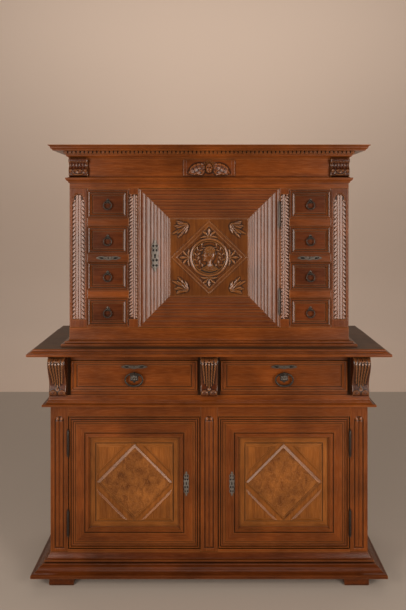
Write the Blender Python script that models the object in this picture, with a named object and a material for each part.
"""Two-part walnut buffet: a lower case with two doors and two wide drawers, and a narrower upper
case with one deep-framed door between two stacks of small drawers.

Metres, +Z up, front towards -Y, origin on the floor under the middle of the object.
"""

import bmesh
import bpy
from math import cos, pi, radians, sin, sqrt
from mathutils import Vector

# Fits between pieces
SEAT_GAP = 0.0003
DOOR_GAP = 0.002
DRAWER_GAP = 0.0008
RING_PLAY = 0.0009
JOIN = 0.002

# Plan of the two cases
LOWER_WIDTH = 1.338
CASE_DEPTH = 0.479
TABLE_OVERHANG = 0.081
UPPER_WIDTH = 1.186
UPPER_SETBACK = 0.019
SIDE_THICKNESS = 0.025
BACK_THICKNESS = 0.018

# Heights, from the floor up
FOOT_HEIGHT = 0.050
PLINTH_HEIGHT = 0.077
SILL_HEIGHT = 0.011
LOWER_DOOR_HEIGHT = 0.557
DOOR_RAIL_HEIGHT = 0.047
WAIST_HEIGHT = 0.043
DRAWER_SILL_HEIGHT = 0.019
WIDE_DRAWER_HEIGHT = 0.126
TOP_RAIL_HEIGHT = 0.030
TABLE_THICKNESS = 0.029
BASE_HEIGHT = 0.075
UPPER_DOOR_HEIGHT = 0.589
PLAIN_BAND_HEIGHT = 0.021
LEDGE_HEIGHT = 0.028
FRIEZE_BOARD_HEIGHT = 0.075
CORNICE_HEIGHT = 0.054

# Mouldings: how far each stands out from the case behind it
PLINTH_PROJECTION = 0.067
WAIST_PROJECTION = 0.030
BASE_PROJECTION = 0.030
LEDGE_PROJECTION = 0.016
CORNICE_PROJECTION = 0.0747

# Lower case members
FOOT_WIDTH = 0.104
FOOT_SETBACK = 0.040
FOOT_CHAMFER = 0.004
PLINTH_WALL = 0.060
FLOOR_THICKNESS = 0.020
STILE_WIDTH = 0.074
CENTRE_STILE_WIDTH = 0.072
STILE_DEPTH = 0.040
DUST_BOARD_THICKNESS = 0.010
GUIDE_HEIGHT = 0.030

# Upper case members
BASE_WALL = 0.050
PILASTER_WIDTH = 0.0765
PILASTER_DEPTH = 0.040
INNER_STILE_WIDTH = 0.0435
PARTITION_THICKNESS = 0.020
FRIEZE_THICKNESS = 0.025
CORNICE_WALL = 0.045
TOP_BOARD_THICKNESS = 0.018

# Carved flutes of the stiles and pilasters
FLUTE_WIDTH = 0.043
FLUTE_DEPTH = 0.006
FLUTE_END = 0.052
REED_WIDTH = 0.015
REED_RECESS = 0.001
ARCH_SEGMENTS = 8

# Sunk field on the outer face of each side board
SIDE_FIELD_MARGIN = 0.080
SIDE_FIELD_DEPTH = 0.007
SIDE_FIELD_SLOPE = 0.014

# Consoles under the table top and under the cornice
CORBEL_WIDTH = 0.070
CORBEL_PROJECTION = 0.066
CORBEL_BACKING = 0.005
CORBEL_RECESS = 0.0115
CORNICE_CORBEL_WIDTH = 0.079
CORNICE_CORBEL_PROJECTION = 0.030

# Carved tablet at the centre of the frieze
TABLET_WIDTH = 0.220
TABLET_MARGIN = 0.004
TABLET_THICKNESS = 0.008
HEAD_RADIUS = 0.024
HEAD_RELIEF = 0.016
WING_RELIEF = 0.007

# Doors
LOWER_DOOR_THICKNESS = 0.026
LOWER_FRAME_WIDTH = 0.091
LOWER_PANEL_BORDER = 0.022
LOWER_LOZENGE_BAND = 0.018
UPPER_DOOR_WIDTH = 0.595
UPPER_DOOR_THICKNESS = 0.052
UPPER_FRAME_WIDTH = 0.127
UPPER_FRAME_SINK = 0.034
UPPER_FRAME_STEPS = 7
UPPER_LOZENGE_BAND = 0.014
MEDALLION_RADIUS = 0.082
RABBET = 0.010
PANEL_TONGUE = 0.007
RELIEF = 0.005
HINGE_RADIUS = 0.0045
HINGE_LENGTH = 0.118
HINGE_INSET = 0.110

# Drawers
DRAWER_FRONT_THICKNESS = 0.024
DRAWER_PROUD = 0.008
DRAWER_BORDER = 0.028
SMALL_DRAWER_BORDER = 0.022
FRONT_RELIEF = 0.004
BOX_WALL = 0.011
BOX_FLOOR = 0.009
BOX_INSET = 0.004
BOX_HEIGHT_DROP = 0.020
BOX_BACK_ROOM = 0.020
SMALL_DRAWER_COUNT = 4
SMALL_RAIL_HEIGHT = 0.034
SMALL_BOTTOM_RAIL = 0.008
SMALL_TOP_RAIL = 0.009

# Ring pulls: half width and half height of the ring to the middle of its wire, half thickness of the
# wire, and the eye that holds it
WIDE_RING_RADIUS = 0.0365
WIDE_RING_DROP = 0.0265
WIDE_RING_WIRE = 0.0035
WIDE_EYE_STANDOFF = 0.0135
SMALL_RING_RADIUS = 0.0168
SMALL_RING_WIRE = 0.0022
SMALL_EYE_STANDOFF = 0.0095
EYE_WALL = 0.003
EYE_RISE = 0.012

# Section shapes: each point is (share of the projection, share of the height)
PLINTH_PROFILE = [(1.00, 0.00), (1.00, 0.18), (0.93, 0.23), (0.62, 0.36), (0.42, 0.48), (0.34, 0.56),
                  (0.24, 0.58), (0.30, 0.64), (0.30, 0.70), (0.22, 0.75), (0.10, 0.78), (0.00, 1.00)]
WAIST_PROFILE = [(1.00, 0.00), (1.00, 0.19), (0.62, 0.27), (0.34, 0.45), (0.20, 0.68), (0.15, 1.00)]
TABLE_PROFILE = [(0.95, 0.00), (1.00, 0.10), (1.00, 0.41), (0.87, 0.50), (0.79, 0.66), (0.72, 0.74),
                 (0.70, 1.00)]
BASE_PROFILE = [(1.00, 0.00), (1.00, 0.12), (0.90, 0.16), (0.55, 0.17), (0.50, 0.28), (0.12, 0.33),
                (0.00, 0.40), (0.00, 1.00)]
LEDGE_PROFILE = [(0.00, 0.00), (0.30, 0.08), (0.50, 0.36), (0.80, 0.48), (1.00, 0.62), (1.00, 0.80),
                 (0.20, 0.95), (0.00, 1.00)]
CORNICE_PROFILE = [(0.00, 0.00), (0.06, 0.14), (0.17, 0.30), (0.19, 0.40), (0.24, 0.40), (0.24, 0.57),
                   (0.78, 0.57), (0.80, 0.66), (0.90, 0.80), (0.95, 0.92), (1.00, 0.93), (1.00, 1.00)]
CONSOLE_PROFILE = [(0.00, 1.00), (0.96, 1.00), (1.00, 0.92), (0.97, 0.80), (0.86, 0.66), (0.68, 0.52),
                   (0.53, 0.40), (0.46, 0.29), (0.50, 0.19), (0.53, 0.11), (0.45, 0.03), (0.28, 0.00),
                   (0.00, 0.00)]

# Levels and planes worked out from the sizes above
Z_CASE = FOOT_HEIGHT + PLINTH_HEIGHT
Z_LOWER_DOOR = Z_CASE + SILL_HEIGHT + DOOR_GAP
Z_RAIL = Z_LOWER_DOOR + LOWER_DOOR_HEIGHT + DOOR_GAP
Z_WAIST = Z_RAIL + DOOR_RAIL_HEIGHT
Z_BAND = Z_WAIST + WAIST_HEIGHT
Z_RUN = Z_BAND + DRAWER_SILL_HEIGHT
Z_WIDE_DRAWER = Z_RUN + SEAT_GAP
Z_TOP_RAIL = Z_WIDE_DRAWER + WIDE_DRAWER_HEIGHT + DRAWER_GAP
Z_TABLE = Z_TOP_RAIL + TOP_RAIL_HEIGHT
Z_BASE = Z_TABLE + TABLE_THICKNESS
Z_UPPER = Z_BASE + BASE_HEIGHT
Z_FRIEZE = Z_UPPER + UPPER_DOOR_HEIGHT + 2 * DOOR_GAP
Z_LEDGE = Z_FRIEZE + PLAIN_BAND_HEIGHT
Z_FRIEZE_BOARD = Z_LEDGE + LEDGE_HEIGHT
Z_CORNICE = Z_FRIEZE_BOARD + FRIEZE_BOARD_HEIGHT
LOWER_HALF = LOWER_WIDTH / 2
UPPER_HALF = UPPER_WIDTH / 2
Y_BACK = (CASE_DEPTH + TABLE_OVERHANG) / 2
Y_LOWER = Y_BACK - CASE_DEPTH
Y_UPPER = Y_LOWER + UPPER_SETBACK
Y_BACK_BOARD = Y_BACK - BACK_THICKNESS


# Shapes

def loft(rings, closed=False):
    """Skin a row of point rings; an open row is capped at both ends."""
    bm = bmesh.new()
    loops = [[bm.verts.new(point) for point in ring] for ring in rings]
    pairs = list(zip(loops, loops[1:]))
    if closed:
        pairs.append((loops[-1], loops[0]))
    else:
        bm.faces.new(loops[0])
        bm.faces.new(loops[-1])
    for low, high in pairs:
        for i in range(len(low)):
            j = (i + 1) % len(low)
            bm.faces.new((low[i], low[j], high[j], high[i]))
    bmesh.ops.recalc_face_normals(bm, faces=bm.faces)
    return bm


def box(x, y, z):
    """Box from three (low, high) spans."""
    rings = [[(x[0], y[0], h), (x[1], y[0], h), (x[1], y[1], h), (x[0], y[1], h)] for h in z]
    return loft(rings)


def prism_x(outline, span):
    """Extrude a (y, z) outline along X."""
    return loft([[(x, y, z) for y, z in outline] for x in span])


def prism_y(outline, span):
    """Extrude an (x, z) outline along Y."""
    return loft([[(x, y, z) for x, z in outline] for y in span])


def prism_z(outline, span):
    """Extrude an (x, y) outline along Z."""
    return loft([[(x, y, z) for x, y in outline] for z in span])


def case_ring(half, front, out, z):
    """Rectangle round a case, standing out from its front and sides but flush at the back."""
    return [(-half - out, front - out, z), (half + out, front - out, z),
            (half + out, Y_BACK, z), (-half - out, Y_BACK, z)]


def inner_ring(half, front, wall, z):
    """Rectangle inside a case, one wall thickness in all round."""
    return [(-half + wall, front + wall, z), (half - wall, front + wall, z),
            (half - wall, Y_BACK - wall, z), (-half + wall, Y_BACK - wall, z)]


def front_ring(x, z, inset, y):
    """Upright rectangle at depth y, drawn in from the spans x and z."""
    return [(x[0] + inset, y, z[0] + inset), (x[1] - inset, y, z[0] + inset),
            (x[1] - inset, y, z[1] - inset), (x[0] + inset, y, z[1] - inset)]


def lozenge_ring(centre, half_x, half_z, inset, y):
    """Upright lozenge at depth y, drawn in square to its sides."""
    drop_x = inset * sqrt(half_x ** 2 + half_z ** 2) / half_z
    drop_z = inset * sqrt(half_x ** 2 + half_z ** 2) / half_x
    return [(centre[0] - half_x + drop_x, y, centre[1]), (centre[0], y, centre[1] - half_z + drop_z),
            (centre[0] + half_x - drop_x, y, centre[1]), (centre[0], y, centre[1] + half_z - drop_z)]


def oval_ring(centre, radius_x, radius_z, y, count=20):
    """Upright ellipse at depth y."""
    angles = [2 * pi * i / count for i in range(count)]
    return [(centre[0] + radius_x * cos(a), y, centre[1] + radius_z * sin(a)) for a in angles]


def moulding(profile, projection, z, height):
    """Section points (out, z) of a moulding from its shares."""
    return [(out * projection, z + share * height) for out, share in profile]


def arch(x, half, low, high):
    """Outline (x, z) of an upright strip with a round head."""
    spring = high - half
    head = [pi * i / ARCH_SEGMENTS for i in range(ARCH_SEGMENTS + 1)]
    return [(x - half, low), (x + half, low)] + [(x + half * cos(a), spring + half * sin(a)) for a in head]


def oval_hoop(centre, half_x, half_z, wire, turns, sides):
    """Oval of round wire standing in the XZ plane."""
    rings = []
    for i in range(turns):
        a = 2 * pi * i / turns
        middle = (centre[0] + half_x * cos(a), centre[2] + half_z * sin(a))
        across = Vector((cos(a) / half_x, sin(a) / half_z)).normalized()
        turn = [2 * pi * k / sides for k in range(sides)]
        spoke = [(wire * cos(t), wire * sin(t)) for t in turn]
        rings.append([(middle[0] + r * across.x, centre[1] + y, middle[1] + r * across.y) for r, y in spoke])
    return loft(rings, closed=True)


# Objects

def material(name, colour, roughness, metallic=0.0):
    finish = bpy.data.materials.new(name)
    finish.use_nodes = True
    shader = finish.node_tree.nodes["Principled BSDF"]
    shader.inputs["Base Color"].default_value = (*colour, 1.0)
    shader.inputs["Roughness"].default_value = roughness
    shader.inputs["Metallic"].default_value = metallic
    return finish


def mesh_object(name, bm):
    mesh = bpy.data.meshes.new(name)
    bm.to_mesh(mesh)
    bm.free()
    piece = bpy.data.objects.new(name, mesh)
    bpy.context.scene.collection.objects.link(piece)
    return piece


def combine(piece, shapes, operation):
    """Join shapes to a piece, or cut them out of it."""
    tools = [mesh_object(piece.name + ".tool", bm) for bm in shapes]
    for tool in tools:
        step = piece.modifiers.new(tool.name, 'BOOLEAN')
        step.operation = operation
        step.object = tool
    graph = bpy.context.evaluated_depsgraph_get()
    result = bpy.data.meshes.new_from_object(piece.evaluated_get(graph))
    piece.modifiers.clear()
    piece.data = result
    for tool in tools:
        bpy.data.objects.remove(tool)


def make(name, finish, shape, cuts=(), adds=(), origin=(0, 0, 0), parent=None):
    """One named piece: a shape, less its cuts, plus its additions, with its origin put in place."""
    piece = mesh_object(name, shape)
    if cuts:
        combine(piece, cuts, 'DIFFERENCE')
    if adds:
        combine(piece, adds, 'UNION')
    for vertex in piece.data.vertices:
        vertex.co = [vertex.co[k] - origin[k] for k in range(3)]
    piece.data.materials.clear()
    piece.data.materials.append(finish)
    piece.parent = parent
    base = parent.matrix_world.translation if parent else (0, 0, 0)
    piece.location = [origin[k] - base[k] for k in range(3)]
    bpy.context.view_layer.update()
    return piece


def smooth(piece, angle=40):
    piece.data.shade_smooth()
    piece.data.set_sharp_from_angle(angle=radians(angle))


def mirrored(span, side):
    """Span along X on the right, or its mirror on the left."""
    return span if side > 0 else (-span[1], -span[0])


def moulded_case(half, front, profile, projection, z, height, wall, board):
    """Moulded block, hollow underneath, closed by a board at the top."""
    section = moulding(profile, projection, z + SEAT_GAP, height - SEAT_GAP)
    rings = [inner_ring(half, front, wall, z + height - board), inner_ring(half, front, wall, z + SEAT_GAP)]
    rings += [case_ring(half, front, out, level) for out, level in section]
    return loft(rings)


# Lower case

def foot(side):
    span = mirrored((LOWER_HALF - FOOT_WIDTH, LOWER_HALF), side)
    depth = (Y_LOWER - PLINTH_PROJECTION + FOOT_SETBACK, Y_BACK - FOOT_SETBACK)
    rings = []
    for inset, z in ((FOOT_CHAMFER, 0), (0, FOOT_CHAMFER), (0, FOOT_HEIGHT)):
        rings.append([(span[0] + inset, depth[0] + inset, z), (span[1] - inset, depth[0] + inset, z),
                      (span[1] - inset, depth[1] - inset, z), (span[0] + inset, depth[1] - inset, z)])
    return loft(rings)


def door_bay(side):
    """Span along X between the centre stile and an outer stile."""
    return mirrored((CENTRE_STILE_WIDTH / 2, LOWER_HALF - STILE_WIDTH), side)


def shrink(span, gap):
    return (span[0] + gap, span[1] - gap)


def plinth():
    block = moulded_case(LOWER_HALF, Y_LOWER, PLINTH_PROFILE, PLINTH_PROJECTION, FOOT_HEIGHT, PLINTH_HEIGHT,
                         PLINTH_WALL, FLOOR_THICKNESS)
    depth = (Y_LOWER + SILL_HEIGHT / 8, Y_LOWER + STILE_DEPTH)
    height = (Z_CASE - JOIN, Z_CASE + SILL_HEIGHT)
    sills = [box(shrink(door_bay(side), SEAT_GAP), depth, height) for side in (-1, 1)]
    return block, sills


def reeded_front(x, span, front):
    """Cut and additions of an arched flute with two reeds on an upright."""
    channel = prism_y(arch(x, FLUTE_WIDTH / 2, *span), (front - JOIN, front + FLUTE_DEPTH))
    reeds = []
    for side in (-1, 1):
        centre = x + side * FLUTE_WIDTH / 5
        low, high = shrink(span, FLUTE_WIDTH / 10)
        outline = arch(centre, REED_WIDTH / 2, low, high - FLUTE_WIDTH / 10)
        reeds.append(prism_y(outline, (front + REED_RECESS, front + FLUTE_DEPTH + JOIN)))
    return [channel], reeds


def stile(x, width, top):
    height = (Z_CASE + SEAT_GAP, top - SEAT_GAP)
    post = box((x - width / 2, x + width / 2), (Y_LOWER, Y_LOWER + STILE_DEPTH), height)
    cuts, reeds = reeded_front(x, (Z_LOWER_DOOR, Z_WAIST - FLUTE_END), Y_LOWER)
    return post, cuts, reeds


def side_board(half, front, z, field, side):
    """Side of a case with one sunk field on its outer face."""
    board = box(mirrored((half - SIDE_THICKNESS, half), side), (front + SEAT_GAP, Y_BACK), z)
    outer = half * side
    depth = (front + SIDE_FIELD_MARGIN, Y_BACK - SIDE_FIELD_MARGIN)
    rings = []
    for sink, inset in ((-SIDE_FIELD_DEPTH, -SIDE_FIELD_SLOPE), (SIDE_FIELD_DEPTH, SIDE_FIELD_SLOPE)):
        x = outer - side * sink
        y = shrink(depth, inset)
        h = shrink(field, inset)
        rings.append([(x, y[0], h[0]), (x, y[1], h[0]), (x, y[1], h[1]), (x, y[0], h[1])])
    return board, [loft(rings)]


def waist():
    """Moulding round the front and sides, with the rails, dust board and guides behind it."""
    section = moulding(WAIST_PROFILE, WAIST_PROJECTION, Z_WAIST, WAIST_HEIGHT)
    section = [(SEAT_GAP, Z_WAIST)] + section + [(SEAT_GAP, Z_BAND)]
    corners = ((-1, 0), (-1, 1), (1, 1), (1, 0))
    rings = []
    for side, at_front in corners:
        ring = []
        for out, z in section:
            y = Y_LOWER - out if at_front else Y_BACK
            ring.append((side * (LOWER_HALF + out), y, z))
        rings.append(ring)
    back = Y_LOWER + STILE_DEPTH
    edge = Y_LOWER - JOIN
    inside = back + STILE_DEPTH / 4
    keyed = shrink((Z_WAIST, Z_BAND), WAIST_HEIGHT / 10)
    rail = [(Y_LOWER, Z_RAIL), (inside, Z_RAIL), (inside, Z_RUN - SEAT_GAP), (Y_LOWER, Z_RUN - SEAT_GAP),
            (Y_LOWER, keyed[1]), (edge, keyed[1]), (edge, keyed[0]), (Y_LOWER, keyed[0])]
    rails = [prism_x(rail, shrink(door_bay(side), SEAT_GAP)) for side in (-1, 1)]
    reach = LOWER_HALF - SIDE_THICKNESS - SEAT_GAP
    depth = (back + SEAT_GAP, Y_BACK_BOARD - SEAT_GAP)
    board = box((-reach, reach), depth, (Z_RUN - DUST_BOARD_THICKNESS, Z_RUN))
    inner, outer = shrink(wide_drawer_span(1), BOX_INSET - DRAWER_GAP)
    guides = []
    for span in ((-reach, -outer), (-inner, inner), (outer, reach)):
        guides.append(box(span, shrink(depth, JOIN), (Z_RUN - JOIN, Z_RUN + GUIDE_HEIGHT)))
    return loft(rings), rails + [board] + guides


def console(x, width, back, projection, z):
    """Scrolled bracket: an S-shaped section carried across its width."""
    outline = [(back - out * projection, z[0] + share * (z[1] - z[0])) for out, share in CONSOLE_PROFILE]
    return prism_x(outline, (x - width / 2, x + width / 2))


def corbel(x, backing_span):
    back = Y_LOWER - SEAT_GAP
    height = (Z_BAND + SEAT_GAP, Z_TABLE - SEAT_GAP)
    board = box(backing_span, (back - CORBEL_BACKING, back), height)
    block = console(x, CORBEL_WIDTH, back - CORBEL_BACKING + JOIN, CORBEL_PROJECTION, shrink(height, JOIN))
    return board, [block]


def table_top():
    section = moulding(TABLE_PROFILE, TABLE_OVERHANG, Z_TABLE + SEAT_GAP, TABLE_THICKNESS - SEAT_GAP)
    return loft([case_ring(LOWER_HALF, Y_LOWER, out, z) for out, z in section])


# Upper case

def pilaster(side):
    span = mirrored((UPPER_HALF - PILASTER_WIDTH, UPPER_HALF), side)
    height = (Z_UPPER + SEAT_GAP, Z_FRIEZE)
    post = box(span, (Y_UPPER, Y_UPPER + PILASTER_DEPTH), height)
    cuts, reeds = reeded_front(sum(span) / 2, (Z_UPPER + FLUTE_END / 2, Z_FRIEZE - FLUTE_END / 2), Y_UPPER)
    return post, cuts, reeds


def cell_span():
    """Span along X of the small drawers' openings on the right."""
    return (UPPER_DOOR_WIDTH / 2 + DOOR_GAP + INNER_STILE_WIDTH, UPPER_HALF - PILASTER_WIDTH)


def small_drawer_height():
    rails = SMALL_BOTTOM_RAIL + SMALL_TOP_RAIL + (SMALL_DRAWER_COUNT - 1) * SMALL_RAIL_HEIGHT
    return (Z_FRIEZE - Z_UPPER - rails) / SMALL_DRAWER_COUNT


def small_drawer_floor(level):
    """Height of the runner under a small drawer, counted from the bottom."""
    return Z_UPPER + SMALL_BOTTOM_RAIL + level * (small_drawer_height() + SMALL_RAIL_HEIGHT)


def housing(side):
    """Inner stile, partition, rails and guides as one block with a cell for each small drawer."""
    inner = UPPER_DOOR_WIDTH / 2 + DOOR_GAP
    near, far = cell_span()
    behind = Y_UPPER + PILASTER_DEPTH + SEAT_GAP
    end = Y_BACK_BOARD - SEAT_GAP
    guide = far + BOX_WALL
    plan = [(inner, Y_UPPER), (far - SEAT_GAP, Y_UPPER), (far - SEAT_GAP, behind), (guide, behind),
            (guide, end), (near - PARTITION_THICKNESS, end), (near - PARTITION_THICKNESS, behind),
            (inner, behind)]
    block = prism_z([(side * x, y) for x, y in plan], (Z_UPPER + SEAT_GAP, Z_FRIEZE))
    cells = []
    for level in range(SMALL_DRAWER_COUNT):
        low = small_drawer_floor(level)
        high = low + small_drawer_height()
        room = SMALL_RAIL_HEIGHT - DUST_BOARD_THICKNESS
        ceiling = high + room if level < SMALL_DRAWER_COUNT - 1 else Z_FRIEZE + JOIN
        outline = [(Y_UPPER - JOIN, low), (end + JOIN, low), (end + JOIN, ceiling), (behind, ceiling),
                   (behind, high), (Y_UPPER - JOIN, high)]
        cells.append(prism_x(outline, mirrored((near, far), side)))
    return block, cells


def frieze():
    """Hollow band round the top of the upper case, with its ledge."""
    low = Z_FRIEZE + SEAT_GAP
    section = [(0, low)] + moulding(LEDGE_PROFILE, LEDGE_PROJECTION, Z_LEDGE, LEDGE_HEIGHT) + [(0, Z_CORNICE)]
    rings = [case_ring(UPPER_HALF, Y_UPPER, out, z) for out, z in section]
    rings += [inner_ring(UPPER_HALF, Y_UPPER, FRIEZE_THICKNESS, z) for z in (Z_CORNICE, low)]
    return loft(rings, closed=True)


def tablet():
    """Centre tablet of the frieze with the rough form of a winged head."""
    back = Y_UPPER - SEAT_GAP
    face = back - TABLET_THICKNESS
    x = (-TABLET_WIDTH / 2, TABLET_WIDTH / 2)
    z = shrink((Z_FRIEZE_BOARD, Z_CORNICE), TABLET_MARGIN)
    rings = [front_ring(x, z, 0, back), front_ring(x, z, 0, face), front_ring(x, z, TABLET_MARGIN, face),
             front_ring(x, z, TABLET_MARGIN, face + TABLET_THICKNESS / 2)]
    ground = face + TABLET_THICKNESS / 2 + JOIN
    middle = (0, sum(z) / 2)
    swell = ((1, ground), (1, face), (0.8, face - HEAD_RELIEF / 2), (0.4, face - HEAD_RELIEF))
    head = [oval_ring(middle, HEAD_RADIUS * share, HEAD_RADIUS * share * 1.1, y, 12) for share, y in swell]
    adds = [loft(head)]
    for side in (-1, 1):
        centre = (side * TABLET_WIDTH / 4, middle[1])
        wing = [oval_ring(centre, TABLET_WIDTH / 5 * share, HEAD_RADIUS * 0.9 * share, y, 12)
                for share, y in ((1, ground), (1, face), (0.7, face - WING_RELIEF))]
        adds.append(loft(wing))
    return loft(rings), adds


def cornice_corbel(side):
    centre = side * (UPPER_HALF - CORNICE_CORBEL_WIDTH / 2)
    return console(centre, CORNICE_CORBEL_WIDTH, Y_UPPER - SEAT_GAP, CORNICE_CORBEL_PROJECTION,
                   (Z_FRIEZE_BOARD + SEAT_GAP, Z_CORNICE - SEAT_GAP))


# Doors

def framed(x, z, section, thickness, front, width):
    """Mitred door frame: a front section (inset, depth), a rabbet for the panel and a flat back."""
    lip = section[-1][1] + RELIEF
    back = front + thickness
    loop = section + [(width, lip), (width - RABBET, lip), (width - RABBET, back), (0, back)]
    return loft([front_ring(x, z, inset, y) for inset, y in loop], closed=True)


def lower_frame_section(front):
    """Bead near the outer edge, flat frame, raised moulding against the panel."""
    bead = HINGE_RADIUS + DOOR_GAP
    width = LOWER_FRAME_WIDTH
    return [(0, front), (bead, front), (bead * 1.4, front - RELIEF / 2), (bead * 2, front - RELIEF / 2),
            (bead * 2.4, front), (width * 0.78, front), (width * 0.82, front - RELIEF),
            (width * 0.90, front - RELIEF), (width, front + RELIEF)]


def upper_frame_section(front):
    """Steps that go down towards the panel."""
    edge = HINGE_RADIUS + DOOR_GAP
    tread = (UPPER_FRAME_WIDTH - edge) / UPPER_FRAME_STEPS
    drop = UPPER_FRAME_SINK / UPPER_FRAME_STEPS
    points = [(0, front), (edge, front)]
    for i in range(UPPER_FRAME_STEPS):
        points.append((edge + (i + 0.15) * tread, front + (i - 0.6) * drop))
        points.append((edge + (i + 0.70) * tread, front + (i + 0.1) * drop))
    points.append((UPPER_FRAME_WIDTH, front + UPPER_FRAME_SINK))
    return points


def panel_rings(x, z, lip, width, border):
    """Panel held in the rabbet, with a border and a raised field."""
    seat = width - RABBET + SEAT_GAP
    face = lip + SEAT_GAP
    inner = width + SEAT_GAP
    ground = lip - RELIEF / 4
    section = [(seat, face + PANEL_TONGUE), (seat, face), (inner, face), (inner, ground),
               (inner + border, ground), (inner + border + RELIEF, lip - RELIEF)]
    return [front_ring(x, z, inset, y) for inset, y in section]


def lozenge_band(centre, half_x, half_z, band, field):
    """Raised lozenge-shaped moulding standing on a field."""
    section = [(0, field + JOIN), (0, field - RELIEF * 0.5), (band * 0.35, field - RELIEF * 1.3),
               (band * 0.65, field - RELIEF * 1.3), (band, field - RELIEF * 0.4), (band, field + JOIN)]
    return loft([lozenge_ring(centre, half_x, half_z, inset, y) for inset, y in section], closed=True)


def lozenge_plate(centre, half_x, half_z, field):
    """Raised lozenge with a bevelled edge standing on a field."""
    section = [(0, field + JOIN), (0, field - RELIEF * 0.5), (RELIEF, field - RELIEF * 1.2)]
    return loft([lozenge_ring(centre, half_x, half_z, inset, y) for inset, y in section])


def corner_plates(centre, half_x, half_z, band, field):
    """Four raised triangles between a lozenge and the corners of its field."""
    plates = []
    for sx in (-1, 1):
        for sz in (-1, 1):
            rings = []
            for inset, y in ((0, field + JOIN), (0, field - RELIEF * 0.3), (RELIEF, field - RELIEF * 0.8)):
                near = band / 2 + inset
                far = band * 2 + inset * 2.4
                corner = (centre[0] + sx * (half_x - near), y, centre[1] + sz * (half_z - near))
                along = (centre[0] + sx * far, y, corner[2])
                up = (corner[0], y, centre[1] + sz * far)
                rings.append([corner, along, up])
            plates.append(loft(rings))
    return plates


def lower_door(side, parent, wood, panel_wood):
    x = shrink(door_bay(side), DOOR_GAP)
    z = (Z_LOWER_DOOR, Z_LOWER_DOOR + LOWER_DOOR_HEIGHT)
    front = Y_LOWER
    hand = "left" if side < 0 else "right"
    hinge_x = door_bay(side)[0 if side < 0 else 1] - side * DOOR_GAP / 2
    axis = (hinge_x, front - HINGE_RADIUS - SEAT_GAP, z[0])
    section = lower_frame_section(front)
    border = framed(x, z, section, LOWER_DOOR_THICKNESS, front, LOWER_FRAME_WIDTH)
    frame = make("lower_door_frame_" + hand, wood, border, origin=axis, parent=parent)
    lip = section[-1][1] + RELIEF
    rings = panel_rings(x, z, lip, LOWER_FRAME_WIDTH, LOWER_PANEL_BORDER)
    field = lip - RELIEF
    centre = (sum(x) / 2, sum(z) / 2)
    reach = LOWER_FRAME_WIDTH + LOWER_PANEL_BORDER + 2 * RELIEF
    half_x = (x[1] - x[0]) / 2 - reach
    half_z = (z[1] - z[0]) / 2 - reach
    adds = [lozenge_plate(centre, half_x, half_z, field)]
    adds += corner_plates(centre, half_x, half_z, LOWER_LOZENGE_BAND, field)
    make("lower_door_panel_" + hand, panel_wood, loft(rings), adds=adds, origin=axis, parent=frame)
    return axis


def upper_door(parent, wood, panel_wood):
    x = (-UPPER_DOOR_WIDTH / 2, UPPER_DOOR_WIDTH / 2)
    z = (Z_UPPER + DOOR_GAP, Z_UPPER + DOOR_GAP + UPPER_DOOR_HEIGHT)
    front = Y_UPPER
    axis = (x[1] + DOOR_GAP / 2, front - HINGE_RADIUS - SEAT_GAP, z[0])
    section = upper_frame_section(front)
    border = framed(x, z, section, UPPER_DOOR_THICKNESS, front, UPPER_FRAME_WIDTH)
    frame = make("upper_door_frame", wood, border, origin=axis, parent=parent)
    lip = section[-1][1] + RELIEF
    rings = panel_rings(x, z, lip, UPPER_FRAME_WIDTH, RELIEF)
    field = lip - RELIEF
    centre = (sum(x) / 2, sum(z) / 2)
    reach = UPPER_FRAME_WIDTH + 4 * RELIEF
    half_x = (x[1] - x[0]) / 2 - reach
    half_z = (z[1] - z[0]) / 2 - reach
    radius = MEDALLION_RADIUS
    disc = [oval_ring(centre, r, r, y) for r, y in (
        (radius, field + JOIN), (radius, field - RELIEF), (radius * 0.92, field - RELIEF * 1.8),
        (radius * 0.84, field - RELIEF), (radius * 0.5, field - RELIEF * 2))]
    adds = [lozenge_band(centre, half_x, half_z, UPPER_LOZENGE_BAND, field), loft(disc)]
    make("upper_door_panel", panel_wood, loft(rings), adds=adds, origin=axis, parent=frame)
    return axis


def hinge_barrel(axis, z):
    """Long turned barrel with a small finial at each end."""
    half = HINGE_LENGTH / 2
    end = [(1.0, 0.87), (0.45, 0.9), (0.8, 0.96), (0.3, 1.0)]
    turned = [(radius, -share) for radius, share in reversed(end)] + end
    rings = []
    for share_out, share in turned:
        radius = share_out * HINGE_RADIUS
        circle = oval_ring((axis[0], axis[1]), radius, radius, z + share * half, 10)
        rings.append([(x, y, height) for x, height, y in circle])
    return loft(rings)


def hinge_pair(name, axis, door_height, parent, iron):
    low = axis[2] + HINGE_INSET
    high = axis[2] + door_height - HINGE_INSET
    for place, z in (("bottom", low), ("top", high)):
        at = (axis[0], axis[1], z)
        smooth(make(name + "_" + place, iron, hinge_barrel(axis, z), origin=at, parent=parent))


# Drawers and ring pulls

def wide_drawer_span(side):
    return shrink(door_bay(side), CORBEL_RECESS + DRAWER_GAP)


def drawer_front(x, z, front, border):
    """Moulded front: a raised rim, a groove and a flat field."""
    back = front + DRAWER_FRONT_THICKNESS
    section = [(0, back), (0, front + FRONT_RELIEF), (border * 0.12, front), (border * 0.40, front),
               (border * 0.50, front + FRONT_RELIEF), (border * 0.70, front + FRONT_RELIEF),
               (border, front + FRONT_RELIEF * 1.4)]
    return loft([front_ring(x, z, inset, y) for inset, y in section])


def drawer_box(x, z, y):
    """Open-topped tray."""
    outer = [[(x[0], y[0], h), (x[1], y[0], h), (x[1], y[1], h), (x[0], y[1], h)] for h in z]
    low = shrink(x, BOX_WALL)
    deep = shrink(y, BOX_WALL)
    inner = [[(low[0], deep[0], h), (low[1], deep[0], h), (low[1], deep[1], h), (low[0], deep[1], h)]
             for h in (z[1], z[0] + BOX_FLOOR)]
    return loft(outer + inner)


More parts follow.
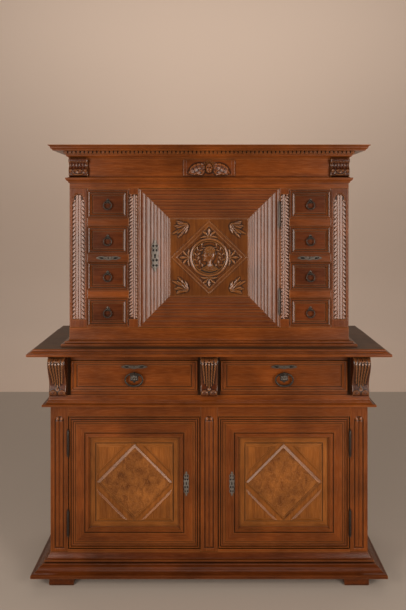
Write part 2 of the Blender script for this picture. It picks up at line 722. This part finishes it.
def ring_eye(pivot, wire, field):
    """Eye with a hole along X, on a stem let into the drawer front."""
    bore = wire + RING_PLAY
    rim = bore + EYE_WALL
    turns = 12
    rings = []
    for i in range(turns):
        a = 2 * pi * i / turns
        corners = ((bore, -EYE_WALL), (rim, -EYE_WALL), (rim, EYE_WALL), (bore, EYE_WALL))
        rings.append([(pivot[0] + x, pivot[1] + r * cos(a), pivot[2] + r * sin(a)) for r, x in corners])
    stem = box((pivot[0] - EYE_WALL * 0.7, pivot[0] + EYE_WALL * 0.7),
               (pivot[1] + bore + EYE_WALL / 3, field + JOIN),
               (pivot[2] - EYE_WALL * 0.9, pivot[2] + EYE_WALL * 0.9))
    return [loft(rings, closed=True), stem]


def drawer(name, x, z, front, border, pull, parent, wood, iron):
    """Drawer with its box and eye, and the ring that hangs in the eye."""
    half_x, half_z, wire, standoff = pull
    field = front + FRONT_RELIEF * 1.4
    back = front + DRAWER_FRONT_THICKNESS
    pivot = (sum(x) / 2, field - standoff, sum(z) / 2 + EYE_RISE)
    tray = drawer_box(shrink(x, BOX_INSET), (z[0], z[1] - BOX_HEIGHT_DROP),
                      (back - JOIN, Y_BACK_BOARD - BOX_BACK_ROOM))
    body = make(name, wood, drawer_front(x, (z[0] + SEAT_GAP, z[1]), front, border),
                adds=[tray] + ring_eye(pivot, wire, field), origin=(pivot[0], back, sum(z) / 2),
                parent=parent)
    hoop = oval_hoop((pivot[0], pivot[1], pivot[2] - half_z), half_x, half_z, wire, 20, 6)
    ring = make(name + "_ring", iron, hoop, origin=pivot, parent=body)
    smooth(ring, 80)


def all_drawers(parent, wood, iron):
    for side, hand in ((-1, "left"), (1, "right")):
        pull = (WIDE_RING_RADIUS, WIDE_RING_DROP, WIDE_RING_WIRE, WIDE_EYE_STANDOFF)
        z = (Z_WIDE_DRAWER, Z_WIDE_DRAWER + WIDE_DRAWER_HEIGHT)
        drawer("wide_drawer_" + hand, wide_drawer_span(side), z, Y_LOWER - DRAWER_PROUD, DRAWER_BORDER, pull,
               parent, wood, iron)
        pull = (SMALL_RING_RADIUS, SMALL_RING_RADIUS, SMALL_RING_WIRE, SMALL_EYE_STANDOFF)
        x = mirrored(shrink(cell_span(), DRAWER_GAP), side)
        for level in range(SMALL_DRAWER_COUNT):
            low = small_drawer_floor(level) + SEAT_GAP
            high = small_drawer_floor(level) + small_drawer_height() - DRAWER_GAP
            name = "small_drawer_%s_%d" % (hand, SMALL_DRAWER_COUNT - level)
            drawer(name, x, (low, high), Y_UPPER - DRAWER_PROUD, SMALL_DRAWER_BORDER, pull,
                   parent, wood, iron)


# The whole buffet

def build_lower(carcass, walnut, inside):
    for side, hand in ((-1, "left"), (1, "right")):
        make("foot_" + hand, inside, foot(side), parent=carcass)
    block, sills = plinth()
    make("plinth", walnut, block, adds=sills, parent=carcass)
    z = (Z_CASE + SEAT_GAP, Z_TABLE)
    field = (Z_CASE + SIDE_FIELD_MARGIN, Z_WAIST - SIDE_FIELD_MARGIN)
    for side, hand in ((-1, "left"), (1, "right")):
        board, cuts = side_board(LOWER_HALF, Y_LOWER + STILE_DEPTH, z, field, side)
        make("lower_side_" + hand, walnut, board, cuts=cuts, parent=carcass)
    reach = LOWER_HALF - SIDE_THICKNESS - SEAT_GAP
    make("lower_back", inside, box((-reach, reach), (Y_BACK_BOARD, Y_BACK), z), parent=carcass)
    edge = LOWER_HALF - STILE_WIDTH / 2
    for hand, x, width, top in (("left", -edge, STILE_WIDTH, Z_TABLE), ("right", edge, STILE_WIDTH, Z_TABLE),
                                ("centre", 0, CENTRE_STILE_WIDTH, Z_TOP_RAIL)):
        post, cuts, reeds = stile(x, width, top)
        make("lower_stile_" + hand, walnut, post, cuts=cuts, adds=reeds, parent=carcass)
    band, inner = waist()
    make("waist", walnut, band, adds=inner, parent=carcass)
    reach = LOWER_HALF - STILE_WIDTH - SEAT_GAP
    make("drawer_rail", walnut, box((-reach, reach), (Y_LOWER, Y_LOWER + STILE_DEPTH), (Z_TOP_RAIL, Z_TABLE)),
         parent=carcass)
    make("table_top", walnut, table_top(), parent=carcass)
    inner = LOWER_HALF - STILE_WIDTH - CORBEL_RECESS
    middle = CENTRE_STILE_WIDTH / 2 + CORBEL_RECESS
    for hand, x, span in (("left", -edge, (-LOWER_HALF, -inner)), ("right", edge, (inner, LOWER_HALF)),
                          ("centre", 0, (-middle, middle))):
        board, blocks = corbel(x, span)
        make("corbel_" + hand, walnut, board, adds=blocks, parent=carcass)


def build_upper(carcass, walnut, inside):
    block = moulded_case(UPPER_HALF, Y_UPPER, BASE_PROFILE, BASE_PROJECTION, Z_BASE, BASE_HEIGHT,
                         BASE_WALL, FLOOR_THICKNESS)
    make("upper_base", walnut, block, parent=carcass)
    z = (Z_UPPER + SEAT_GAP, Z_FRIEZE)
    field = shrink((Z_UPPER, Z_FRIEZE), SIDE_FIELD_MARGIN)
    for side, hand in ((-1, "left"), (1, "right")):
        board, cuts = side_board(UPPER_HALF, Y_UPPER + PILASTER_DEPTH, z, field, side)
        make("upper_side_" + hand, walnut, board, cuts=cuts, parent=carcass)
        post, cuts, reeds = pilaster(side)
        make("pilaster_" + hand, walnut, post, cuts=cuts, adds=reeds, parent=carcass)
        block, cells = housing(side)
        make("drawer_housing_" + hand, walnut, block, cuts=cells, parent=carcass)
        make("cornice_corbel_" + hand, walnut, cornice_corbel(side), parent=carcass)
    reach = UPPER_HALF - SIDE_THICKNESS - SEAT_GAP
    make("upper_back", inside, box((-reach, reach), (Y_BACK_BOARD, Y_BACK), z), parent=carcass)
    make("frieze", walnut, frieze(), parent=carcass)
    plate, relief = tablet()
    make("frieze_tablet", walnut, plate, adds=relief, parent=carcass)
    block = moulded_case(UPPER_HALF, Y_UPPER, CORNICE_PROFILE, CORNICE_PROJECTION, Z_CORNICE, CORNICE_HEIGHT,
                         CORNICE_WALL, TOP_BOARD_THICKNESS)
    make("cornice", walnut, block, parent=carcass)


def main():
    for piece in list(bpy.data.objects):
        bpy.data.objects.remove(piece)
    walnut = material("waxed_walnut", (0.155, 0.046, 0.010), 0.38)
    panel_wood = material("golden_walnut", (0.200, 0.066, 0.014), 0.36)
    inside = material("old_oak", (0.130, 0.075, 0.035), 0.70)
    iron = material("wrought_iron", (0.045, 0.040, 0.036), 0.45, 1.0)
    carcass = bpy.data.objects.new("carcass", None)
    bpy.context.scene.collection.objects.link(carcass)
    build_lower(carcass, walnut, inside)
    build_upper(carcass, walnut, inside)
    for side, hand in ((-1, "left"), (1, "right")):
        axis = lower_door(side, carcass, walnut, panel_wood)
        hinge_pair("lower_hinge_" + hand, axis, LOWER_DOOR_HEIGHT, carcass, iron)
    axis = upper_door(carcass, walnut, panel_wood)
    hinge_pair("upper_hinge", axis, UPPER_DOOR_HEIGHT, carcass, iron)
    all_drawers(carcass, walnut, iron)


main()
